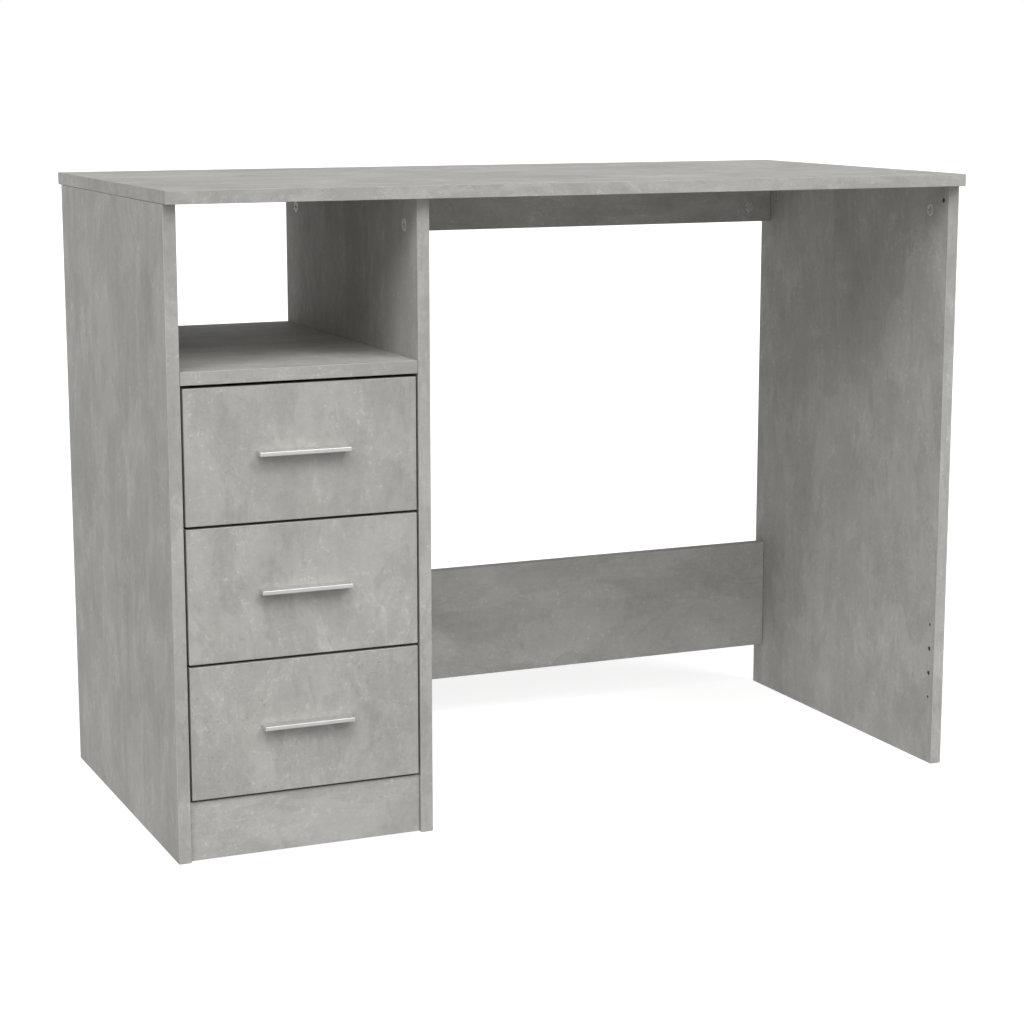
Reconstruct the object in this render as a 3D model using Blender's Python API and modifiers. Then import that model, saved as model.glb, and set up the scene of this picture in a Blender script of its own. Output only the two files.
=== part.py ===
"""A writing desk: a worktop on two end panels and a partition, an open niche over three drawers on the
left, and a knee space with two rear boards on the right. The drawers run on steel runners with rollers.

Metres, +Z up. The front faces -Y, and the origin is on the floor, under the middle of the whole desk.
"""

import math

import bmesh
import bpy
from mathutils import Matrix, Vector

# Driving dimensions
TOP_WIDTH = 1.02
TOP_DEPTH = 0.50
HEIGHT = 0.76
BOARD = 0.015
PANEL_DEPTH = 0.47
FRONT_OVERHANG = 0.014
BAY_WIDTH = 0.28
TOUCH = 0.0003
BOARD_EDGE_RADIUS = 0.0006
BOARD_EDGE_STEPS = 2
SMOOTH_ANGLE = math.radians(35)

# Shelf, plinth and the boards at the back
SHELF_TOP = 0.5615
PLINTH_TOP = 0.070
PLINTH_FLOOR_GAP = 0.001
PLINTH_SETBACK = 0.004
REAR_INSET = 0.010
UPPER_RAIL_HEIGHT = 0.069
LOWER_BOARD_BOTTOM = 0.061
LOWER_BOARD_HEIGHT = 0.152
HARDBOARD = 0.003

# Cam fittings, in the inner faces of the three upright panels and in the front face of the upper rail
CAM_RADIUS = 0.0075
CAM_DEPTH = 0.0125
CAM_BELOW_TOP = 0.032
CAM_FROM_EDGE = 0.041
RAIL_CAM_FROM_END = 0.035
RAIL_CAM_ABOVE_FOOT = 0.020
CAM_SLOT_WIDTH = 0.0020
CAM_SLOT_LENGTH = 0.0100
CAM_SLOT_DEPTH = 0.0018
CAM_SEGMENTS = 32

# Spare fixing holes on the knee space's sides, for building the desk the other way round
HOLE_DEPTH = 0.010
HOLE_FROM_FRONT = 0.0115
DOWEL_HOLE_RADIUS = 0.003
PILOT_HOLE_RADIUS = 0.002
DOWEL_HOLE_HEIGHTS = (0.119, 0.151, 0.7265)
PILOT_HOLE_HEIGHTS = (0.087, 0.183)
HOLE_SEGMENTS = 16

# Drawers
DRAWER_COUNT = 3
FRONT_HEIGHT = 0.1544
FRONT_GAP = 0.0033
FRONT_SIDE_GAP = 0.0028
LOWEST_FRONT = 0.073
DRAWER_TRAVEL = 0.290
BOX_BOARD = 0.012
BOX_SIDE_HEIGHT = 0.110
BOX_SIDE_LENGTH = 0.390
BOX_ABOVE_FRONT_FOOT = 0.021
RUNNER_SPACE = 0.0125
GROOVE_ABOVE_FOOT = 0.010
GROOVE_DEPTH = 0.005
GROOVE_PLAY = 0.0003

# Handles
HANDLE_LENGTH = 0.108
HANDLE_PROJECTION = 0.0137
HANDLE_HEIGHT = 0.005
HANDLE_LIP = 0.004
HANDLE_LEG = 0.010
HANDLE_TOP = 0.0016
HANDLE_EDGE_RADIUS = 0.0008
HANDLE_OVERCUT = 0.002
HANDLE_ABOVE_MIDDLE = 0.001

# Runners and rollers
STEEL = 0.0012
CHANNEL_HEIGHT = 0.030
CHANNEL_REACH = 0.0100
CHANNEL_LENGTH = 0.400
CHANNEL_BELOW_SIDE = 0.008
WEB_NEAR_SIDE = 0.0110
FLANGE_OVER_ROLLER = 0.0092
FLANGE_UNDER_SIDE = 0.010
ROLLER_RADIUS = 0.0125
ROLLER_BORE = 0.0028
ROLLER_WIDTH = 0.0060
ROLLER_START = 0.0030
ROLLER_RIM = 0.0008
ROLLER_FROM_END = 0.016
AXLE_RADIUS = 0.0022
AXLE_HEAD_RADIUS = 0.0045
AXLE_HEAD = 0.0007
AXLE_SEGMENTS = 20
ROLLER_STEPS = 28
ROLLER_MERGE = 0.00005

# Places that follow from the dimensions above
PANEL_HEIGHT = HEIGHT - BOARD
HANDLE_FRONT = HANDLE_PROJECTION + TOUCH
FRONT_Y = HANDLE_FRONT - (TOP_DEPTH - FRONT_OVERHANG + HANDLE_FRONT) / 2
BACK_Y = FRONT_Y + PANEL_DEPTH
LEFT_X = -TOP_WIDTH / 2
RIGHT_X = TOP_WIDTH / 2
BAY_LEFT = LEFT_X + BOARD
BAY_RIGHT = BAY_LEFT + BAY_WIDTH
BAY_MIDDLE = (BAY_LEFT + BAY_RIGHT) / 2
KNEE_LEFT = BAY_RIGHT + BOARD
KNEE_RIGHT = RIGHT_X - BOARD
SHELF_BOTTOM = SHELF_TOP - BOARD
REAR_BOARD_Y = BACK_Y - REAR_INSET - BOARD
BOX_FRONT_Y = FRONT_Y + BOARD + TOUCH
BOX_BACK_Y = BOX_FRONT_Y + BOX_SIDE_LENGTH
BOX_LEFT = BAY_LEFT + RUNNER_SPACE
BOX_RIGHT = BAY_RIGHT - RUNNER_SPACE

TO_RIGHT = Vector((1, 0, 0))
TO_LEFT = Vector((-1, 0, 0))
TO_FRONT = Vector((0, -1, 0))
UPWARDS = Vector((0, 0, 1))

# Colours (linear RGB), roughness and metallic of each material
FINISHES = {
    "concrete_decor": ((0.40, 0.40, 0.38), 0.60, 0.0),
    "drawer_board": ((0.62, 0.62, 0.60), 0.60, 0.0),
    "hardboard": ((0.50, 0.49, 0.46), 0.75, 0.0),
    "handle_metal": ((0.72, 0.72, 0.72), 0.32, 1.0),
    "runner_steel": ((0.75, 0.75, 0.74), 0.40, 0.0),
    "roller_plastic": ((0.80, 0.80, 0.78), 0.45, 0.0),
    "cam_zinc": ((0.66, 0.66, 0.66), 0.40, 1.0),
}


def clear_scene():
    for obj in list(bpy.data.objects):
        bpy.data.objects.remove(obj, do_unlink=True)


def new_collection(name):
    collection = bpy.data.collections.new(name)
    bpy.context.scene.collection.children.link(collection)
    return collection


def new_material(node_name, finish):
    colour, roughness, metallic = FINISHES[finish]
    material = bpy.data.materials.new(f"{node_name}_{finish}")
    material.use_nodes = True
    shader = material.node_tree.nodes["Principled BSDF"]
    shader.inputs["Base Color"].default_value = (*colour, 1.0)
    shader.inputs["Roughness"].default_value = roughness
    shader.inputs["Metallic"].default_value = metallic
    material.diffuse_color = (*colour, 1.0)
    return material


def new_object(name, data, place, collection, parent=None):
    """An object at a place in the world, under its parent if it has one."""
    obj = bpy.data.objects.new(name, data)
    collection.objects.link(obj)
    obj.parent = parent
    obj.location = Vector(place) - (parent.location if parent else Vector())
    return obj


def finished(obj, finish):
    obj.data.materials.append(new_material(obj.name, finish))
    return obj


def box_mesh(name, size):
    mesh = bpy.data.meshes.new(name)
    shape = bmesh.new()
    bmesh.ops.create_cube(shape, size=1.0, matrix=Matrix.Diagonal((*size, 1.0)))
    shape.to_mesh(mesh)
    shape.free()
    return mesh


def cylinder_mesh(name, radius, length, segments, axis=TO_RIGHT):
    """A cylinder along an axis, about its middle."""
    mesh = bpy.data.meshes.new(name)
    shape = bmesh.new()
    bmesh.ops.create_cone(
        shape,
        cap_ends=True,
        segments=segments,
        radius1=radius,
        radius2=radius,
        depth=length,
        matrix=UPWARDS.rotation_difference(axis).to_matrix().to_4x4(),
    )
    shape.to_mesh(mesh)
    shape.free()
    mesh.shade_smooth()
    mesh.set_sharp_from_angle(angle=SMOOTH_ANGLE)
    return mesh


def middle_and_size(low, high):
    low, high = Vector(low), Vector(high)
    return (low + high) / 2, high - low


def new_board(name, low, high, finish, parent=None, radius=BOARD_EDGE_RADIUS):
    """A board between two corners, its edges slightly rounded."""
    middle, size = middle_and_size(low, high)
    board = new_object(name, box_mesh(name, size), middle, PARTS, parent)
    if radius:
        rounding = board.modifiers.new("rounded_edges", "BEVEL")
        rounding.width = radius
        rounding.segments = BOARD_EDGE_STEPS
        rounding.limit_method = "ANGLE"
    return finished(board, finish)


def add_boolean(obj, tool, operation):
    modifier = obj.modifiers.new(f"{operation.lower()}_{tool.name}", "BOOLEAN")
    modifier.operation = operation
    modifier.object = tool
    modifier.solver = "EXACT"


def new_tool(name, mesh, place, parent=None):
    """A helper shape for a Boolean, left out of the desk."""
    tool = new_object(name, mesh, place, CUTTERS, parent)
    tool.hide_render = True
    tool.display_type = "WIRE"
    return tool


def cut_box(obj, low, high, label):
    middle, size = middle_and_size(low, high)
    name = f"cutter_{obj.name}_{label}"
    add_boolean(obj, new_tool(name, box_mesh(name, size), middle, obj.parent), "DIFFERENCE")


def join_box(obj, low, high, label):
    middle, size = middle_and_size(low, high)
    name = f"joined_{obj.name}_{label}"
    add_boolean(obj, new_tool(name, box_mesh(name, size), middle, obj.parent), "UNION")


def join_x_cylinder(obj, centre, radius, length, label):
    name = f"joined_{obj.name}_{label}"
    mesh = cylinder_mesh(name, radius, length, AXLE_SEGMENTS)
    add_boolean(obj, new_tool(name, mesh, centre, obj.parent), "UNION")


# Fixed boards


def make_worktop():
    low = (LEFT_X, FRONT_Y - FRONT_OVERHANG, PANEL_HEIGHT)
    high = (RIGHT_X, FRONT_Y - FRONT_OVERHANG + TOP_DEPTH, HEIGHT)
    new_board("desk_top", low, high, "concrete_decor")


def make_uprights():
    """The three upright panels, each with a pair of cam fittings below the worktop."""
    uprights = (
        ("left_side_panel", LEFT_X, TO_RIGHT),
        ("partition_panel", BAY_RIGHT, TO_LEFT),
        ("right_side_panel", KNEE_RIGHT, TO_LEFT),
    )
    cam_z = PANEL_HEIGHT - CAM_BELOW_TOP
    for name, x, facing in uprights:
        low = (x, FRONT_Y, 0)
        high = (x + BOARD, BACK_Y, PANEL_HEIGHT - TOUCH)
        panel = new_board(name, low, high, "concrete_decor")
        face_x = x + BOARD if facing == TO_RIGHT else x
        side = name.split("_")[0]
        for end, y in (("front", FRONT_Y + CAM_FROM_EDGE), ("rear", BACK_Y - CAM_FROM_EDGE)):
            make_cam(panel, f"{side}_{end}_cam", Vector((face_x, y, cam_z)), facing)
        if name == "right_side_panel":
            cut_spare_holes(panel, KNEE_RIGHT, TO_LEFT)
        if name == "partition_panel":
            cut_spare_holes(panel, KNEE_LEFT, TO_RIGHT)


def cut_blind_hole(board, label, mouth, facing, radius, depth, segments):
    """A round blind hole whose mouth is in a face of the board, facing outwards from it."""
    name = f"cutter_{board.name}_{label}"
    mesh = cylinder_mesh(name, radius, 2 * depth, segments, facing)
    add_boolean(board, new_tool(name, mesh, mouth), "DIFFERENCE")


def cut_spare_holes(panel, face_x, facing):
    sizes = ((DOWEL_HOLE_RADIUS, DOWEL_HOLE_HEIGHTS), (PILOT_HOLE_RADIUS, PILOT_HOLE_HEIGHTS))
    for radius, heights in sizes:
        for z in heights:
            label = f"hole_{round(z * 1000)}"
            mouth = (face_x, FRONT_Y + HOLE_FROM_FRONT, z)
            cut_blind_hole(panel, label, mouth, facing, radius, HOLE_DEPTH, HOLE_SEGMENTS)


def make_cam(board, name, face_point, facing):
    """A round zinc cam in a blind hole of the board, with a cross recess in its open face."""
    cut_blind_hole(board, name, face_point, facing, CAM_RADIUS + TOUCH, CAM_DEPTH, CAM_SEGMENTS)
    length = CAM_DEPTH - TOUCH
    mesh = cylinder_mesh(name, CAM_RADIUS, length, CAM_SEGMENTS, facing)
    cam = finished(new_object(name, mesh, face_point - facing * (length / 2), PARTS), "cam_zinc")
    across = facing.cross(UPWARDS)
    for label, long_way, short_way in (("slot", across, UPWARDS), ("cross", UPWARDS, across)):
        half = (
            facing * CAM_SLOT_DEPTH
            + long_way * (CAM_SLOT_LENGTH / 2)
            + short_way * (CAM_SLOT_WIDTH / 2)
        )
        half = Vector([abs(side) for side in half])
        cut_box(cam, face_point - half, face_point + half, label)


def make_bay_boards():
    """What stands between the left side panel and the partition: shelf, plinth, bottom and back."""
    left, right = BAY_LEFT + TOUCH, BAY_RIGHT - TOUCH
    new_board("niche_shelf", (left, FRONT_Y, SHELF_BOTTOM), (right, BACK_Y, SHELF_TOP), "concrete_decor")
    plinth_y = FRONT_Y + PLINTH_SETBACK
    new_board(
        "plinth_board",
        (left, plinth_y, PLINTH_FLOOR_GAP),
        (right, plinth_y + BOARD, PLINTH_TOP),
        "concrete_decor",
    )
    back_y = BACK_Y - REAR_INSET - HARDBOARD
    new_board(
        "bottom_board",
        (left, plinth_y + BOARD + TOUCH, PLINTH_TOP - BOARD),
        (right, back_y + HARDBOARD, PLINTH_TOP),
        "concrete_decor",
    )
    new_board(
        "drawer_bay_back",
        (left, back_y, PLINTH_TOP + TOUCH),
        (right, back_y + HARDBOARD, SHELF_BOTTOM - TOUCH),
        "hardboard",
        radius=0,
    )


def make_rear_boards():
    """The two boards that brace the knee space at the back."""
    left, right = KNEE_LEFT + TOUCH, KNEE_RIGHT - TOUCH
    levels = (
        ("upper_rear_rail", PANEL_HEIGHT - UPPER_RAIL_HEIGHT, PANEL_HEIGHT - TOUCH),
        ("lower_rear_board", LOWER_BOARD_BOTTOM, LOWER_BOARD_BOTTOM + LOWER_BOARD_HEIGHT),
    )
    for name, bottom, top in levels:
        low = (left, REAR_BOARD_Y, bottom)
        high = (right, REAR_BOARD_Y + BOARD, top)
        board = new_board(name, low, high, "concrete_decor")
        if name == "upper_rear_rail":
            z = bottom + RAIL_CAM_ABOVE_FOOT
            ends = (("left", KNEE_LEFT + RAIL_CAM_FROM_END), ("right", KNEE_RIGHT - RAIL_CAM_FROM_END))
            for end, x in ends:
                make_cam(board, f"rail_{end}_cam", Vector((x, REAR_BOARD_Y, z)), TO_FRONT)


# Drawers


def make_handle(name, height, slide):
    """A slim pull: a lip in front of a closed top, hollow from below for the fingertips."""
    half = HANDLE_LENGTH / 2
    inner_half = half - HANDLE_LEG
    back_y = FRONT_Y - TOUCH
    front_y = back_y - HANDLE_PROJECTION
    low_z = height - HANDLE_HEIGHT / 2
    high_z = low_z + HANDLE_HEIGHT
    handle = new_board(
        name,
        (BAY_MIDDLE - half, front_y, low_z),
        (BAY_MIDDLE + half, back_y, high_z),
        "handle_metal",
        slide,
        radius=HANDLE_EDGE_RADIUS,
    )
    cut_box(
        handle,
        (BAY_MIDDLE - inner_half, front_y + HANDLE_LIP, low_z - HANDLE_OVERCUT),
        (BAY_MIDDLE + inner_half, back_y + HANDLE_OVERCUT, high_z - HANDLE_TOP),
        "hollow",
    )


def make_drawer_box(drawer, slide, foot):
    """The front, two sides, back and bottom of one drawer. Its sides stand on the height foot."""
    front_bottom = foot - BOX_ABOVE_FRONT_FOOT
    groove_low = foot + GROOVE_ABOVE_FOOT
    groove_high = groove_low + HARDBOARD + 2 * GROOVE_PLAY
    side_top = foot + BOX_SIDE_HEIGHT
    inner_left = BOX_LEFT + BOX_BOARD
    inner_right = BOX_RIGHT - BOX_BOARD

    front = new_board(
        f"{drawer}_front",
        (BAY_LEFT + FRONT_SIDE_GAP, FRONT_Y, front_bottom),
        (BAY_RIGHT - FRONT_SIDE_GAP, FRONT_Y + BOARD, front_bottom + FRONT_HEIGHT),
        "concrete_decor",
        slide,
    )
    cut_box(
        front,
        (inner_left - GROOVE_DEPTH, FRONT_Y + BOARD - GROOVE_DEPTH, groove_low),
        (inner_right + GROOVE_DEPTH, FRONT_Y + BOARD + GROOVE_DEPTH, groove_high),
        "groove",
    )

    sides = (("left", BOX_LEFT, inner_left), ("right", inner_right, inner_right))
    for label, side_x, inner_face_x in sides:
        side = new_board(
            f"{drawer}_{label}_side",
            (side_x, BOX_FRONT_Y, foot),
            (side_x + BOX_BOARD, BOX_BACK_Y, side_top),
            "drawer_board",
            slide,
        )
        cut_box(
            side,
            (inner_face_x - GROOVE_DEPTH, BOX_FRONT_Y - BOARD, groove_low),
            (inner_face_x + GROOVE_DEPTH, BOX_BACK_Y + BOARD, groove_high),
            "groove",
        )

    new_board(
        f"{drawer}_back",
        (inner_left + TOUCH, BOX_BACK_Y - BOX_BOARD, groove_high + TOUCH),
        (inner_right - TOUCH, BOX_BACK_Y, side_top),
        "drawer_board",
        slide,
    )
    in_groove = GROOVE_DEPTH - TOUCH
    new_board(
        f"{drawer}_bottom",
        (inner_left - in_groove, FRONT_Y + BOARD - in_groove, groove_low + GROOVE_PLAY),
        (inner_right + in_groove, BOX_BACK_Y, groove_high - GROOVE_PLAY),
        "hardboard",
        slide,
        radius=0,
    )
    handle_z = front_bottom + FRONT_HEIGHT / 2 + HANDLE_ABOVE_MIDDLE
    make_handle(f"{drawer}_handle", handle_z, slide)


# Runners: sections are measured from the cabinet wall, and inward is +1 on the left and -1 on the right.


def span(wall_x, inward, start, end):
    """The lower and higher X of a stretch that runs from the wall into the bay."""
    return sorted((wall_x + inward * start, wall_x + inward * end))


def make_cabinet_runner(name, wall_x, inward, channel_z, axle):
    """A channel on the cabinet wall, open towards the drawer, with the front roller's axle in it."""
    front_y = BOX_FRONT_Y + TOUCH
    back_y = front_y + CHANNEL_LENGTH
    low_x, high_x = span(wall_x, inward, TOUCH, TOUCH + STEEL)
    channel = new_board(
        name,
        (low_x, front_y, channel_z),
        (high_x, back_y, channel_z + CHANNEL_HEIGHT),
        "runner_steel",
        radius=0,
    )
    low_x, high_x = span(wall_x, inward, TOUCH, CHANNEL_REACH)
    for label, z in (("lower", channel_z), ("upper", channel_z + CHANNEL_HEIGHT - STEEL)):
        join_box(channel, (low_x, front_y, z), (high_x, back_y, z + STEEL), label)
    head_at = ROLLER_START + ROLLER_WIDTH + TOUCH
    add_axle(channel, wall_x, inward, axle, TOUCH + STEEL / 2, head_at + AXLE_HEAD / 2)
    add_axle_head(channel, wall_x, inward, axle, head_at)


def make_drawer_runner(name, wall_x, inward, channel_z, foot, axle, parent):
    """An angle under the drawer side, with a flange above that rides on the cabinet's front roller."""
    front_y = BOX_FRONT_Y + TOUCH
    back_y = BOX_BACK_Y
    flange_z = axle.z + ROLLER_RADIUS + TOUCH
    web_far_side = WEB_NEAR_SIDE + STEEL
    web = span(wall_x, inward, WEB_NEAR_SIDE, web_far_side)
    foot_z = foot - TOUCH - STEEL
    runner = new_board(
        name,
        (web[0], front_y, foot_z),
        (web[1], back_y, flange_z + STEEL),
        "runner_steel",
        parent,
        radius=0,
    )
    under = span(wall_x, inward, WEB_NEAR_SIDE, RUNNER_SPACE + FLANGE_UNDER_SIDE)
    join_box(runner, (under[0], front_y, foot_z), (under[1], back_y, foot_z + STEEL), "under_side")
    over = span(wall_x, inward, web_far_side - FLANGE_OVER_ROLLER, web_far_side)
    join_box(runner, (over[0], front_y, flange_z), (over[1], back_y, flange_z + STEEL), "over_roller")
    head_at = ROLLER_START - TOUCH - AXLE_HEAD
    add_axle(runner, wall_x, inward, axle, head_at + AXLE_HEAD / 2, WEB_NEAR_SIDE + STEEL / 2)
    add_axle_head(runner, wall_x, inward, axle, head_at)


def add_axle(obj, wall_x, inward, axle, start, end):
    centre = (wall_x + inward * (start + end) / 2, axle.y, axle.z)
    join_x_cylinder(obj, centre, AXLE_RADIUS, end - start, "axle")


def add_axle_head(obj, wall_x, inward, axle, start):
    centre = (wall_x + inward * (start + AXLE_HEAD / 2), axle.y, axle.z)
    join_x_cylinder(obj, centre, AXLE_HEAD_RADIUS, AXLE_HEAD, "axle_head")


def make_roller(name, wall_x, inward, axle, parent=None):
    """A plastic roller turned about X: its origin is on its own axle."""
    mesh = bpy.data.meshes.new(name)
    half = ROLLER_WIDTH / 2
    profile = (
        (-half, ROLLER_BORE),
        (-half, ROLLER_RADIUS - ROLLER_RIM),
        (-half + ROLLER_RIM, ROLLER_RADIUS),
        (half - ROLLER_RIM, ROLLER_RADIUS),
        (half, ROLLER_RADIUS - ROLLER_RIM),
        (half, ROLLER_BORE),
    )
    shape = bmesh.new()
    ring = [shape.verts.new((x, 0, radius)) for x, radius in profile]
    for first, second in zip(ring, ring[1:] + ring[:1]):
        shape.edges.new((first, second))
    shape.to_mesh(mesh)
    shape.free()
    middle = (wall_x + inward * (ROLLER_START + half), axle.y, axle.z)
    roller = new_object(name, mesh, middle, PARTS, parent)
    turning = roller.modifiers.new("turned", "SCREW")
    turning.axis = "X"
    turning.steps = ROLLER_STEPS
    turning.render_steps = ROLLER_STEPS
    turning.use_merge_vertices = True
    turning.merge_threshold = ROLLER_MERGE
    turning.use_smooth_shade = True
    turning.use_normal_flip = True
    finished(roller, "roller_plastic")


def make_drawer(number):
    """Drawer 1 is the top one."""
    drawer = f"drawer_{number}"
    front_bottom = LOWEST_FRONT + (DRAWER_COUNT - number) * (FRONT_HEIGHT + FRONT_GAP)
    foot = front_bottom + BOX_ABOVE_FRONT_FOOT
    slide = new_object(f"{drawer}_slide", None, (BAY_MIDDLE, FRONT_Y, foot), PARTS)
    slide["travel"] = DRAWER_TRAVEL
    make_drawer_box(drawer, slide, foot)

    channel_z = foot - CHANNEL_BELOW_SIDE
    axle_z = channel_z + STEEL + TOUCH + ROLLER_RADIUS
    channel_front_y = BOX_FRONT_Y + TOUCH
    front_axle = Vector((0, channel_front_y + ROLLER_FROM_END, axle_z))
    rear_axle = Vector((0, BOX_BACK_Y - ROLLER_FROM_END, axle_z))
    for label, wall_x, inward in (("left", BAY_LEFT, +1), ("right", BAY_RIGHT, -1)):
        name = f"{drawer}_{label}"
        make_cabinet_runner(f"{name}_channel", wall_x, inward, channel_z, front_axle)
        make_drawer_runner(f"{name}_runner", wall_x, inward, channel_z, foot, rear_axle, slide)
        make_roller(f"{name}_front_roller", wall_x, inward, front_axle)
        make_roller(f"{name}_rear_roller", wall_x, inward, rear_axle, slide)


clear_scene()
PARTS = new_collection("writing_desk")
CUTTERS = new_collection("cutters")
make_worktop()
make_uprights()
make_bay_boards()
make_rear_boards()
for drawer_number in range(1, DRAWER_COUNT + 1):
    make_drawer(drawer_number)
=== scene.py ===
"""Looks of the writing desk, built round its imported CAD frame.

The boards get their concrete decor, and the handles, runners, rollers and cams their materials.
The heads of the screws that hold the handles and the runners are added. Lengths are in metres.
"""

import math

import bmesh
import bpy
from mathutils import Matrix, Vector


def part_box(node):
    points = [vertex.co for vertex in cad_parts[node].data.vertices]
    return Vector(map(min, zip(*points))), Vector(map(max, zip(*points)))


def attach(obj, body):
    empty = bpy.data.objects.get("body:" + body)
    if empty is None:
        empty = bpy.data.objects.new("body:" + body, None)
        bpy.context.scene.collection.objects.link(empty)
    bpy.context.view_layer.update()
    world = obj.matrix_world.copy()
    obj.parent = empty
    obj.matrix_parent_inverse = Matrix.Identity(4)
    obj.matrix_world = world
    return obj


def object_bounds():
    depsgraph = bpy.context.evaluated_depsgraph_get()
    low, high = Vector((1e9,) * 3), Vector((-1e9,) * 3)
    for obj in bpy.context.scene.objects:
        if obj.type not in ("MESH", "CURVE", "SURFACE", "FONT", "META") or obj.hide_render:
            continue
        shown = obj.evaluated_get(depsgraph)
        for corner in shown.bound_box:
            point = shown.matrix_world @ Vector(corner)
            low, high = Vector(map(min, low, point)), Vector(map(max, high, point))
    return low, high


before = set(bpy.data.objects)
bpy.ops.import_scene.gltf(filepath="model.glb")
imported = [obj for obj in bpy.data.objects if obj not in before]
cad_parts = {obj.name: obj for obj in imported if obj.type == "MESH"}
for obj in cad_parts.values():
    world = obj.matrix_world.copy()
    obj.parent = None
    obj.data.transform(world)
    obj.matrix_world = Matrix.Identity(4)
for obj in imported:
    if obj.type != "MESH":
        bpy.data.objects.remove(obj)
cad_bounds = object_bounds()

# Camera and light, in metres, millimetres of lens and degrees
CAMERA_PLACE = Vector((-1.2073, -2.7781, 0.892))
CAMERA_TARGET = Vector((0.005, 0.0, 0.329))
CAMERA_LENS = 84.5
SENSOR = 36.0
SOFTBOX_SPREAD = 25.0
# Azimuth from the front towards the left, elevation and strength of each softbox
SOFTBOXES = {
    "right": (-30.0, 45.0, 1.08),
    "high": (30.0, 60.0, 1.10),
    "low": (10.0, 30.0, 0.38),
    "left": (60.0, 32.0, 0.85),
}
# Strength of the surroundings in front of the desk and behind it, in three ways that they are met
LIGHT_FILL = (0.27, 0.38)
MIRRORED_FILL = (0.95, 0.40)
SEEN_FILL = (1.0, 1.0)
# The floor: its own light on the desk, its own light as seen, how pale it is, and its side
FLOOR_FILL = 0.57
FLOOR_GLOW = 0.75
FLOOR_WHITE = 0.50
FLOOR_SIDE = 60.0

# Linear colours
WHITE = (1.0, 1.0, 1.0, 1.0)
DECOR_DARK = (0.283, 0.278, 0.261)
DECOR_LIGHT = (0.525, 0.515, 0.487)
DECOR_WARM = (0.430, 0.392, 0.352)
CHIPBOARD_DARK = (0.09, 0.07, 0.05)
CHIPBOARD_LIGHT = (0.28, 0.22, 0.15)
FOIL_DARK = (0.56, 0.56, 0.54)
FOIL_LIGHT = (0.66, 0.66, 0.64)
FIBRE_DARK = (0.36, 0.34, 0.31)
FIBRE_LIGHT = (0.52, 0.50, 0.47)
ALUMINIUM = (0.70, 0.70, 0.685)
ALUMINIUM_LINE = (0.61, 0.61, 0.60)
COATING = (0.74, 0.74, 0.72)
COATING_WORN = (0.60, 0.60, 0.59)
NYLON = (0.78, 0.78, 0.75)
NYLON_DUSTY = (0.62, 0.61, 0.58)
ZINC = (0.70, 0.70, 0.69)
ZINC_DARK = (0.48, 0.48, 0.48)

# Radius and height of each kind of screw head
PAN_HEAD = (0.0038, 0.0022)
FLAT_HEAD = (0.0032, 0.0009)
# Shares of a head's height or radius
HEAD_RIM = 0.3
HEAD_FOOT = (0.96, 0.1)
RECESS_LENGTH = 1.1
RECESS_WIDTH = 0.22
# Power in the crown's outline, sides and steps of its mesh, and the angle that stays sharp
HEAD_ROUNDNESS = 0.8
HEAD_SIDES = 32
CROWN_STEPS = 8
SHARP_ANGLE = 35.0
# The first screw's turn, and how much further the next one is turned
FIRST_TURN = 37
NEXT_TURN = 61
# Where the screws sit: from a runner's front end, from its outer face, and from the handle's ends
RUNNER_SCREWS = (0.075, 0.200, 0.335)
RUNNER_STEEL = 0.0012
FLANGE_SCREW_IN = 0.0165
HANDLE_SCREW_IN = 0.005

DECOR_GLOSS = 0.25
# Thickness of the edge band, half the width of its joint, and width of the rubbed arris, which on
# the decor also carries a painted highlight
EDGE_BAND = 0.0008
EDGE_JOINT = 0.00022
ARRIS = 0.0012
# Depth below a board's surface from which its chips show
DECOR_CHIPS = (0.00035, 0.0006)
FOIL_CHIPS = (0.0004, 0.0008)
# How far apart the boards, and the faces of one board, lie on the printed sheet
SHEET_STEP = Vector((0.37, 0.61, 0.83))
FACE_STEP = (1.7, 2.9, 4.3)
# Scale of the pattern along its streaks, and for the scrapes across them. Less is longer
STREAK_STRETCH = 0.10
BLOTCH_STRETCH = 0.50
SCRAPE_STRETCH = 0.35
VEIN_LEVEL = 0.52
VEIN_WIDTH = 0.010
# The surroundings change from front to back where a direction's Y is nearer to zero than this
HORIZON_TURN = 0.6
FLOOR_GAP = 0.0005
AXES = {"X": Vector((1, 0, 0)), "Y": Vector((0, 1, 0)), "Z": Vector((0, 0, 1))}


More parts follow.
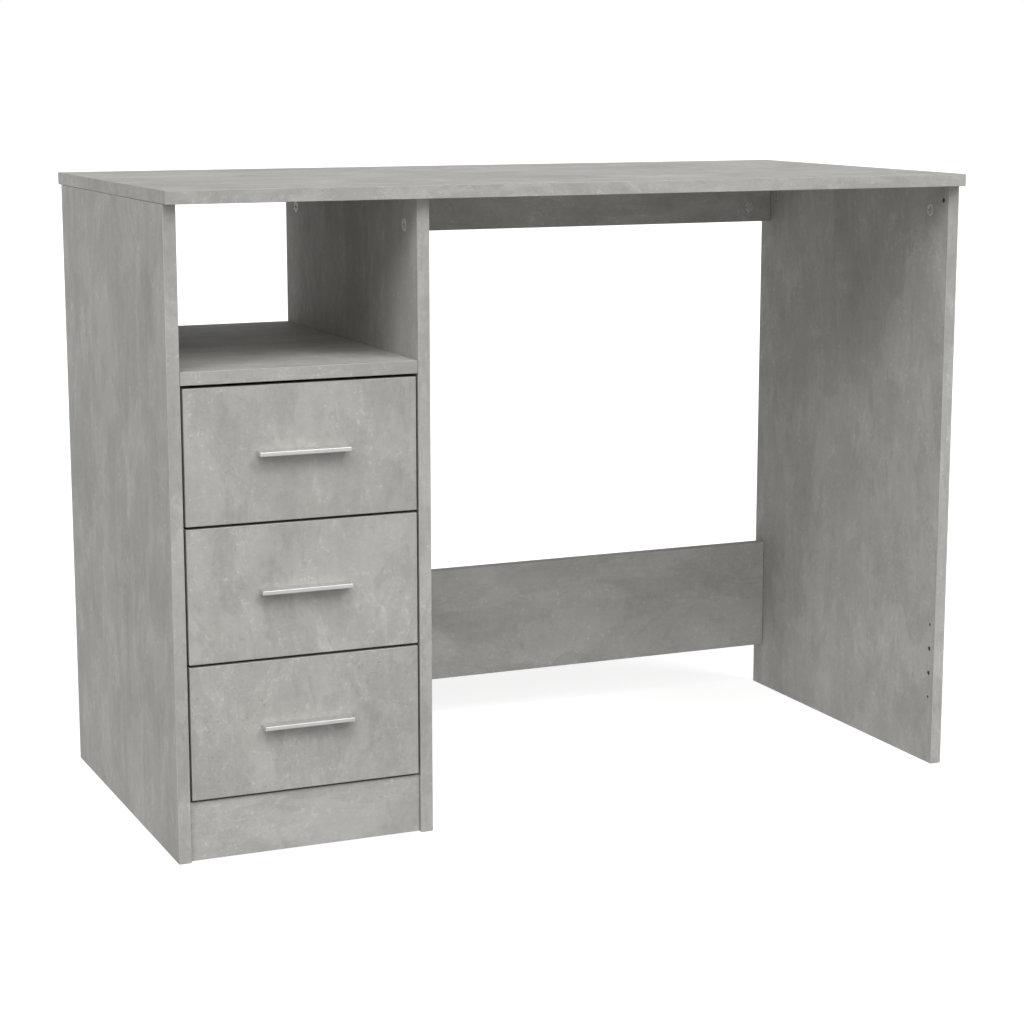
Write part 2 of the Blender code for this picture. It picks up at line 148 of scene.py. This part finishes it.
class Graph:
    """The node tree of one material. Most methods add a node and return the socket to read."""

    def __init__(self, name):
        self.material = bpy.data.materials.new(name)
        self.material.use_nodes = True
        self.tree = self.material.node_tree
        self.shader = self.tree.nodes["Principled BSDF"]

    def add(self, kind, inputs=None, output=0, **settings):
        """A node of this kind, with its inputs fed and its other settings made."""
        node = self.tree.nodes.new(kind)
        for key, value in settings.items():
            setattr(node, key, value)
        for key, value in (inputs or {}).items():
            self.feed(node.inputs[key], value)
        return node.outputs[output]

    def feed(self, socket, value):
        """Links the value if it is a socket, or else sets it."""
        if isinstance(value, bpy.types.NodeSocket):
            self.tree.links.new(value, socket)
        else:
            socket.default_value = value

    def surface(self, **inputs):
        """Feeds the material's own shader. An underscore stands for a space in an input's name."""
        for name, value in inputs.items():
            self.feed(self.shader.inputs[name.replace("_", " ")], value)

    def place(self):
        """Where the point is, in metres in the desk's frame."""
        return self.add("ShaderNodeTexCoord", output="Object")

    def facing(self):
        """How much the face looks along each axis, from 0 to 1."""
        return self.vector("ABSOLUTE", self.add("ShaderNodeNewGeometry", output="True Normal"))

    def vector(self, operation, a, b=None, output="Vector"):
        inputs = {0: a} if b is None else {0: a, 1: b}
        return self.add("ShaderNodeVectorMath", inputs, output, operation=operation)

    def math(self, operation, a, b=0.0):
        return self.add("ShaderNodeMath", {0: a, 1: b}, operation=operation)

    def parts(self, vector):
        """The three numbers of the vector."""
        return self.add("ShaderNodeSeparateXYZ", {0: vector}).node.outputs

    def noise(self, at, scale, detail=3.0, roughness=0.55, distortion=0.0):
        inputs = {
            "Vector": at,
            "Scale": scale,
            "Detail": detail,
            "Roughness": roughness,
            "Distortion": distortion,
        }
        return self.add("ShaderNodeTexNoise", inputs, "Fac")

    def step(self, value, low, high, to_low=0.0, to_high=1.0):
        """A smooth step of value between low and high."""
        inputs = {
            "Value": value,
            "From Min": low,
            "From Max": high,
            "To Min": to_low,
            "To Max": to_high,
        }
        return self.add("ShaderNodeMapRange", inputs, interpolation_type="SMOOTHSTEP")

    def mix(self, share, a, b):
        """Colour a, turning into colour b as share goes from 0 to 1."""
        node = self.tree.nodes.new("ShaderNodeMix")
        node.data_type = "RGBA"
        self.feed(node.inputs["Factor"], share)
        for socket, colour in zip([s for s in node.inputs if s.type == "RGBA"], (a, b)):
            self.feed(socket, (*colour, 1.0) if isinstance(colour, tuple) else colour)
        return next(s for s in node.outputs if s.type == "RGBA")

    def shade(self, colour, amount):
        """Colour times amount."""
        return self.add("ShaderNodeVectorMath", {0: colour, "Scale": amount}, operation="SCALE")

    def total(self, start, *terms):
        """start, or nothing, plus each term's weight times its distance from a middle value."""
        value = start
        for source, middle, weight in terms:
            inputs = {0: source, 1: weight, 2: -middle * weight}
            offset = self.add("ShaderNodeMath", inputs, operation="MULTIPLY_ADD")
            value = offset if value is None else self.math("ADD", value, offset)
        return value

    def bump(self, height, distance, strength):
        """A normal tilted by the height, which is distance metres at its most."""
        inputs = {"Height": height, "Distance": distance, "Strength": strength}
        return self.add("ShaderNodeBump", inputs, "Normal")


def board_distances(graph, at, node):
    """The least and the middle of the distances to the board's three pairs of faces."""
    low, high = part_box(node)
    middle, half = (low + high) / 2, (high - low) / 2
    from_middle = graph.vector("ABSOLUTE", graph.vector("SUBTRACT", at, tuple(middle)))
    x, y, z = graph.parts(graph.vector("SUBTRACT", tuple(half), from_middle))
    smaller, larger = graph.math("MINIMUM", x, y), graph.math("MAXIMUM", x, y)
    least = graph.math("MINIMUM", smaller, z)
    median = graph.math("MAXIMUM", smaller, graph.math("MINIMUM", larger, z))
    return least, median


def thickness_axis(node):
    """The number of the axis along which the board is thinnest."""
    low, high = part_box(node)
    size = high - low
    return min(range(3), key=lambda axis: size[axis])


def chipboard(graph, at):
    """The colour of a cut face, with its pressed chips."""
    chips = graph.noise(at, 420.0, 2.0, 0.7, 1.5)
    return graph.mix(graph.step(chips, 0.30, 0.70), CHIPBOARD_DARK, CHIPBOARD_LIGHT)


def decor_material(node, grain, number):
    """Concrete decor on one board, from wide clouds down to pores, with its edge band's joint."""
    graph = Graph(f"concrete_decor_{node}")
    at = graph.place()
    least, to_edge = board_distances(graph, at, node)
    facing = graph.facing()

    # Each board is cut from another part of the printed sheet, and each face of it too.
    on_sheet = graph.vector("ADD", at, graph.vector("MULTIPLY", facing, FACE_STEP))
    on_sheet = graph.vector("ADD", on_sheet, tuple(SHEET_STEP * (number + 1)))
    along = AXES[grain]
    across = Vector((1, 1, 1)) - along
    streaked = graph.vector("MULTIPLY", on_sheet, tuple(across + along * STREAK_STRETCH))
    drawn = graph.vector("MULTIPLY", on_sheet, tuple(across + along * BLOTCH_STRETCH))
    crossed = graph.vector("MULTIPLY", on_sheet, tuple(across * SCRAPE_STRETCH + along))

    clouds = graph.noise(on_sheet, 6.5, 4.0, 0.55, 0.4)
    blotches = graph.noise(drawn, 27.0, 8.0, 0.70, 0.5)
    islands = graph.step(graph.noise(drawn, 15.0, 8.0, 0.68, 0.7), 0.49, 0.55)
    mottle = graph.noise(on_sheet, 120.0, 4.0, 0.7, 0.6)
    streaks = graph.noise(streaked, 70.0, 4.0, 0.62, 0.1)
    scrapes = graph.noise(crossed, 48.0, 6.0, 0.70, 0.3)
    grain_fine = graph.noise(on_sheet, 700.0, 2.0, 0.6)
    warm_patches = graph.noise(on_sheet, 11.0, 3.0, 0.5, 0.5)
    vein_field = graph.noise(drawn, 5.5, 8.0, 0.64, 0.8)
    pore_field = graph.noise(on_sheet, 330.0, 2.0, 0.5)
    fleck_field = graph.noise(on_sheet, 150.0, 4.0, 0.66, 0.5)

    off_vein = graph.math("ABSOLUTE", graph.math("SUBTRACT", vein_field, VEIN_LEVEL))
    vein = graph.step(off_vein, 0.0, VEIN_WIDTH, 1.0, 0.0)
    vein = graph.math("MULTIPLY", vein, graph.step(clouds, 0.46, 0.58))
    rough_patch = graph.step(blotches, 0.42, 0.58)
    pore = graph.math("MULTIPLY", graph.step(pore_field, 0.62, 0.72), rough_patch)
    fleck = graph.math("MULTIPLY", graph.step(fleck_field, 0.58, 0.64), rough_patch)

    tone = graph.total(
        0.50,
        (clouds, 0.5, 0.66),
        (blotches, 0.5, 0.62),
        (islands, 0.5, 0.17),
        (mottle, 0.5, 0.46),
        (streaks, 0.5, 0.34),
        (scrapes, 0.5, 0.24),
        (grain_fine, 0.5, 0.12),
        (vein, 0.0, 0.26),
        (fleck, 0.0, 0.34),
        (pore, 0.0, -0.28),
    )
    colour = graph.mix(tone, DECOR_DARK, DECOR_LIGHT)
    colour = graph.mix(graph.step(warm_patches, 0.55, 0.80, 0.0, 0.30), colour, DECOR_WARM)

    # The edge band's joint shows as a fine dark line, and the arris is a little lighter, partly
    # rubbed and partly a painted highlight.
    # Inside a hole, the chips show.
    wide_face = graph.step(graph.parts(facing)[thickness_axis(node)], 0.8, 0.95)
    off_joint = graph.math("ABSOLUTE", graph.math("SUBTRACT", to_edge, EDGE_BAND))
    joint = graph.math("MULTIPLY", graph.step(off_joint, 0.0, EDGE_JOINT, 1.0, 0.0), wide_face)
    at_arris = graph.step(to_edge, 0.0, ARRIS, 1.0, 0.0)
    rub_and_highlight = graph.math("MULTIPLY", at_arris, graph.step(mottle, 0.35, 0.65))
    # The arris mask lightens the decor's colour, partly as rubbing and partly as a painted
    # highlight along every edge.
    colour = graph.shade(colour, graph.total(1.0, (joint, 0.0, -0.16), (rub_and_highlight, 0.0, 0.07)))
    colour = graph.mix(graph.step(least, *DECOR_CHIPS), colour, chipboard(graph, at))

    roughness = graph.total(
        0.60,
        (blotches, 0.5, -0.20),
        (mottle, 0.5, 0.10),
        (rub_and_highlight, 0.0, -0.06),
        (pore, 0.0, 0.12),
    )
    height = graph.total(
        None,
        (grain_fine, 0.5, 0.5),
        (mottle, 0.5, 0.7),
        (pore, 0.0, -1.2),
        (joint, 0.0, -1.0),
    )
    graph.surface(
        Base_Color=colour,
        Roughness=roughness,
        Specular_IOR_Level=DECOR_GLOSS,
        Normal=graph.bump(height, 0.00006, 0.6),
    )
    return graph.material


def foil_material(node):
    """Light grey foil on a drawer's boards, with a faint fibre along Y and rubbed arrises."""
    graph = Graph(f"drawer_board_{node}")
    at = graph.place()
    least, to_edge = board_distances(graph, at, node)
    fibres = graph.noise(graph.vector("MULTIPLY", at, (1.0, 0.10, 1.0)), 320.0, 3.0, 0.6)
    clouds = graph.noise(at, 9.0, 3.0, 0.5)
    weave = graph.noise(at, 900.0, 2.0, 0.5)
    tone = graph.total(0.5, (fibres, 0.5, 0.7), (clouds, 0.5, 0.5), (weave, 0.5, 0.25))
    colour = graph.mix(tone, FOIL_DARK, FOIL_LIGHT)
    at_arris = graph.step(to_edge, 0.0, ARRIS, 1.0, 0.0)
    rub_and_highlight = graph.math("MULTIPLY", at_arris, graph.step(clouds, 0.35, 0.65))
    colour = graph.shade(colour, graph.total(1.0, (rub_and_highlight, 0.0, -0.10)))
    colour = graph.mix(graph.step(least, *FOIL_CHIPS), colour, chipboard(graph, at))
    roughness = graph.total(0.48, (fibres, 0.5, 0.16), (clouds, 0.5, 0.12))
    height = graph.total(None, (fibres, 0.5, 0.8), (weave, 0.5, 0.6))
    graph.surface(Base_Color=colour, Roughness=roughness, Normal=graph.bump(height, 0.00005, 0.6))
    return graph.material


def hardboard_material(node):
    """Pressed fibre, cloudy and dull."""
    graph = Graph(f"hardboard_{node}")
    at = graph.place()
    fibres = graph.noise(at, 260.0, 4.0, 0.7, 2.0)
    clouds = graph.noise(at, 12.0, 3.0, 0.5)
    tone = graph.total(0.5, (fibres, 0.5, 0.9), (clouds, 0.5, 0.6))
    colour = graph.mix(tone, FIBRE_DARK, FIBRE_LIGHT)
    roughness = graph.total(0.70, (fibres, 0.5, 0.2))
    height = graph.total(None, (fibres, 0.5, 1.0))
    graph.surface(Base_Color=colour, Roughness=roughness, Normal=graph.bump(height, 0.00008, 0.7))
    return graph.material


def aluminium_material():
    """Satin aluminium, brushed along X."""
    graph = Graph("satin_aluminium")
    at = graph.place()
    lines = graph.noise(graph.vector("MULTIPLY", at, (0.012, 1.0, 1.0)), 2600.0, 2.0, 0.6)
    clouds = graph.noise(at, 60.0, 2.0, 0.5)
    colour = graph.mix(graph.step(lines, 0.30, 0.70), ALUMINIUM_LINE, ALUMINIUM)
    roughness = graph.total(0.52, (lines, 0.5, 0.20), (clouds, 0.5, 0.10))
    graph.surface(
        Base_Color=colour,
        Roughness=roughness,
        Metallic=1.0,
        Normal=graph.bump(lines, 0.00002, 0.5),
    )
    return graph.material


def coated_steel_material():
    """Powder-coated runner steel, with the coating's fine orange peel and a few rubbed places."""
    graph = Graph("coated_steel")
    at = graph.place()
    peel = graph.noise(at, 750.0, 2.0, 0.5)
    rubbed = graph.noise(graph.vector("MULTIPLY", at, (1.0, 0.12, 1.0)), 160.0, 4.0, 0.6)
    rubbed = graph.step(rubbed, 0.56, 0.70)
    colour = graph.mix(rubbed, COATING, COATING_WORN)
    roughness = graph.total(0.36, (peel, 0.5, 0.12), (rubbed, 0.0, 0.14))
    graph.surface(Base_Color=colour, Roughness=roughness, Normal=graph.bump(peel, 0.00004, 0.5))
    return graph.material


def nylon_material():
    """The rollers' nylon, dusty in places and scuffed round its rim."""
    graph = Graph("roller_nylon")
    at = graph.place()
    clouds = graph.noise(at, 240.0, 3.0, 0.6)
    scuffs = graph.noise(graph.vector("MULTIPLY", at, (4.0, 1.0, 1.0)), 700.0, 3.0, 0.6)
    colour = graph.mix(graph.step(clouds, 0.40, 0.80), NYLON, NYLON_DUSTY)
    roughness = graph.total(0.44, (scuffs, 0.5, 0.20))
    graph.surface(Base_Color=colour, Roughness=roughness, Normal=graph.bump(scuffs, 0.00004, 0.5))
    return graph.material


def zinc_material():
    """Bright zinc, lightly pitted, for the cams and the screws."""
    graph = Graph("cast_zinc")
    at = graph.place()
    cast = graph.noise(at, 1100.0, 3.0, 0.6)
    clouds = graph.noise(at, 300.0, 2.0, 0.5)
    colour = graph.mix(graph.step(clouds, 0.30, 0.70), ZINC_DARK, ZINC)
    roughness = graph.total(0.42, (cast, 0.5, 0.24))
    graph.surface(
        Base_Color=colour,
        Roughness=roughness,
        Metallic=0.5,
        Normal=graph.bump(cast, 0.00005, 0.6),
    )
    return graph.material


def dress(node, material):
    """Gives the CAD node the material, in place of its own."""
    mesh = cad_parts[node].data
    mesh.materials.clear()
    mesh.materials.append(material)


# Which way each decor board's streaks run
DECOR_GRAIN = {
    "desk_top": "X",
    "left_side_panel": "Z",
    "partition_panel": "Z",
    "right_side_panel": "Z",
    "niche_shelf": "X",
    "bottom_board": "X",
    "plinth_board": "X",
    "upper_rear_rail": "X",
    "lower_rear_board": "X",
    "drawer_1_front": "Z",
    "drawer_2_front": "Z",
    "drawer_3_front": "Z",
}


def dress_frame():
    """Gives every CAD node its material, and returns the zinc one."""
    shared = {
        "handle": aluminium_material(),
        "channel": coated_steel_material(),
        "roller": nylon_material(),
        "cam": zinc_material(),
    }
    shared["runner"] = shared["channel"]
    for node in sorted(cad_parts):
        kind = node.split("_")[-1]
        if node in DECOR_GRAIN:
            number = sorted(DECOR_GRAIN).index(node)
            dress(node, decor_material(node, DECOR_GRAIN[node], number))
        elif node == "drawer_bay_back" or node.endswith("_bottom"):
            dress(node, hardboard_material(node))
        elif kind in shared:
            dress(node, shared[kind])
        else:
            dress(node, foil_material(node))
    return shared["cam"]


def lathe(shape, profile):
    """Adds the closed surface that the profile, as radii and heights, sweeps round the Z axis."""
    loops = []
    turns = [math.tau * side / HEAD_SIDES for side in range(HEAD_SIDES)]
    for radius, height in profile:
        ring = [(radius * math.cos(turn), radius * math.sin(turn), height) for turn in turns]
        loops.append([shape.verts.new(point) for point in ring])
    for lower, upper in zip(loops, loops[1:]):
        for side in range(HEAD_SIDES):
            following = (side + 1) % HEAD_SIDES
            shape.faces.new((lower[side], lower[following], upper[following], upper[side]))
    shape.faces.new(loops[-1])
    shape.faces.new(loops[0][::-1])


def add_object(name, shape):
    """An object in the scene with the shape as its mesh. The shape is freed."""
    mesh = bpy.data.meshes.new(name)
    shape.to_mesh(mesh)
    shape.free()
    obj = bpy.data.objects.new(name, mesh)
    bpy.context.scene.collection.objects.link(obj)
    return obj


def screw_head(name, size):
    """The mesh of a round-topped head with a cross recess. It stands on the origin, facing +Z."""
    radius, height = size
    foot_radius, foot_height = HEAD_FOOT
    rim = HEAD_RIM * height
    profile = [(foot_radius * radius, 0.0), (radius, foot_height * height), (radius, rim)]
    for step in range(1, CROWN_STEPS):
        turn = math.pi / 2 * step / CROWN_STEPS
        crown_radius = radius * math.cos(turn) ** HEAD_ROUNDNESS
        profile.append((crown_radius, rim + (height - rim) * math.sin(turn)))
    shape = bmesh.new()
    lathe(shape, profile)
    head = add_object(name, shape)

    shape = bmesh.new()
    arm = Matrix.Diagonal((RECESS_LENGTH * radius, RECESS_WIDTH * radius, height, 1.0))
    for turn in (0.0, math.pi / 2):
        place = Matrix.Translation((0, 0, height)) @ Matrix.Rotation(turn, 4, "Z")
        bmesh.ops.create_cube(shape, size=1.0, matrix=place @ arm)
    recess = add_object(f"{name}_recess", shape)

    cut = head.modifiers.new("recess", "BOOLEAN")
    cut.object = recess
    cut.use_self = True
    graph = bpy.context.evaluated_depsgraph_get()
    mesh = bpy.data.meshes.new_from_object(head.evaluated_get(graph))
    for obj in (head, recess):
        bpy.data.objects.remove(obj, do_unlink=True)
    mesh.shade_smooth()
    mesh.set_sharp_from_angle(angle=math.radians(SHARP_ANGLE))
    return mesh


def make_screws(name, body, head, places, facing, material):
    """One piece made of a screw head at each place. They all face the same way."""
    turn = Vector((0, 0, 1)).rotation_difference(facing).to_matrix().to_4x4()
    shape = bmesh.new()
    for number, place in enumerate(places):
        before = len(shape.verts)
        shape.from_mesh(head)
        shape.verts.ensure_lookup_table()
        spin = Matrix.Rotation(math.radians(FIRST_TURN + NEXT_TURN * number), 4, "Z")
        moved = Matrix.Translation(place) @ turn @ spin
        bmesh.ops.transform(shape, matrix=moved, verts=shape.verts[before:])
    piece = add_object(name, shape)
    piece.data.materials.append(material)
    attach(piece, body)


def add_screws(zinc):
    """The heads of the screws that hold the handles and the runners."""
    pan, flat = screw_head("pan_head", PAN_HEAD), screw_head("flat_head", FLAT_HEAD)
    for number in (1, 2, 3):
        drawer = f"drawer_{number}"
        low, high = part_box(f"{drawer}_handle")
        inner_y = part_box(f"{drawer}_front")[1].y
        middle_z = (low.z + high.z) / 2
        ends = (low.x + HANDLE_SCREW_IN, high.x - HANDLE_SCREW_IN)
        places = [Vector((x, inner_y, middle_z)) for x in ends]
        make_screws(f"{drawer}_handle_screws", drawer, pan, places, AXES["Y"], zinc)
        for side, inward in (("left", 1), ("right", -1)):
            outer = 0 if inward == 1 else 1
            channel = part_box(f"{drawer}_{side}_channel")
            web_x = channel[outer].x + inward * RUNNER_STEEL
            middle_z = (channel[0].z + channel[1].z) / 2
            places = [Vector((web_x, channel[0].y + y, middle_z)) for y in RUNNER_SCREWS]
            name = f"{drawer}_{side}_channel_screws"
            make_screws(name, "carcass", flat, places, inward * AXES["X"], zinc)
            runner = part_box(f"{drawer}_{side}_runner")
            under_x = runner[outer].x + inward * FLANGE_SCREW_IN
            places = [Vector((under_x, runner[0].y + y, runner[0].z)) for y in RUNNER_SCREWS]
            name = f"{drawer}_{side}_runner_screws"
            make_screws(name, drawer, flat, places, -AXES["Z"], zinc)


def make_floor():
    """A pale floor. To the camera it glows, so that it stays white. To the desk it is dimmer."""
    shape = bmesh.new()
    bmesh.ops.create_grid(shape, x_segments=1, y_segments=1, size=FLOOR_SIDE / 2)
    floor = add_object("floor", shape)
    floor.location.z = cad_bounds[0].z - FLOOR_GAP
    graph = Graph("pale_floor")
    tree = graph.tree
    tree.nodes.remove(graph.shader)
    seen = graph.add("ShaderNodeLightPath", output="Is Camera Ray")
    pale = graph.add("ShaderNodeBsdfDiffuse", {"Color": (*[FLOOR_WHITE] * 3, 1.0)})
    glow = graph.add("ShaderNodeEmission", {"Color": WHITE, "Strength": FLOOR_GLOW})
    fill = graph.add("ShaderNodeEmission", {"Color": WHITE, "Strength": FLOOR_FILL})
    lit = graph.add("ShaderNodeAddShader", {0: pale, 1: glow})
    both = graph.add("ShaderNodeMixShader", {0: seen, 1: fill, 2: lit})
    tree.links.new(both, tree.nodes["Material Output"].inputs["Surface"])
    floor.data.materials.append(graph.material)


def make_world():
    """White to the camera. As a light, and in reflections, the front differs from the back."""
    world = bpy.data.worlds.new("studio")
    bpy.context.scene.world = world
    world.use_nodes = True
    tree = world.node_tree
    nodes, link = tree.nodes, tree.links.new
    background = nodes["Background"]
    background.inputs["Color"].default_value = WHITE
    direction = nodes.new("ShaderNodeSeparateXYZ")
    link(nodes.new("ShaderNodeTexCoord").outputs["Generated"], direction.inputs[0])
    path = nodes.new("ShaderNodeLightPath")
    fills = {None: LIGHT_FILL, "Is Glossy Ray": MIRRORED_FILL, "Is Camera Ray": SEEN_FILL}
    strength = None
    for ray, (front, back) in fills.items():
        fill = nodes.new("ShaderNodeMapRange")
        fill.interpolation_type = "SMOOTHSTEP"
        link(direction.outputs["Y"], fill.inputs["Value"])
        settings = {
            "From Min": -HORIZON_TURN,
            "From Max": HORIZON_TURN,
            "To Min": front,
            "To Max": back,
        }
        for name, value in settings.items():
            fill.inputs[name].default_value = value
        if strength is None:
            strength = fill.outputs["Result"]
            continue
        pick = nodes.new("ShaderNodeMix")
        link(path.outputs[ray], pick.inputs["Factor"])
        link(strength, pick.inputs["A"])
        link(fill.outputs["Result"], pick.inputs["B"])
        strength = pick.outputs["Result"]
    link(strength, background.inputs["Strength"])


def make_softboxes():
    """Soft light from four directions, each as wide as a softbox and even over the whole desk."""
    for name, (azimuth, elevation, strength) in SOFTBOXES.items():
        azimuth, elevation = math.radians(azimuth), math.radians(elevation)
        level = math.cos(elevation)
        to_light = Vector(
            (-math.sin(azimuth) * level, -math.cos(azimuth) * level, math.sin(elevation))
        )
        data = bpy.data.lights.new(name, "SUN")
        data.energy = strength
        data.angle = math.radians(SOFTBOX_SPREAD)
        softbox = bpy.data.objects.new(name, data)
        bpy.context.scene.collection.objects.link(softbox)
        softbox.rotation_euler = (-to_light).to_track_quat("-Z", "Y").to_euler()


def make_camera():
    """The camera, where the photograph was taken from, aimed at the desk's middle."""
    data = bpy.data.cameras.new("camera")
    data.sensor_width = SENSOR
    data.lens = CAMERA_LENS
    camera = bpy.data.objects.new("camera", data)
    bpy.context.scene.collection.objects.link(camera)
    camera.location = CAMERA_PLACE
    camera.rotation_euler = (CAMERA_TARGET - CAMERA_PLACE).to_track_quat("-Z", "Y").to_euler()
    bpy.context.scene.camera = camera


add_screws(dress_frame())
make_floor()
make_world()
make_softboxes()
make_camera()
bpy.context.scene.view_settings.view_transform = "Standard"
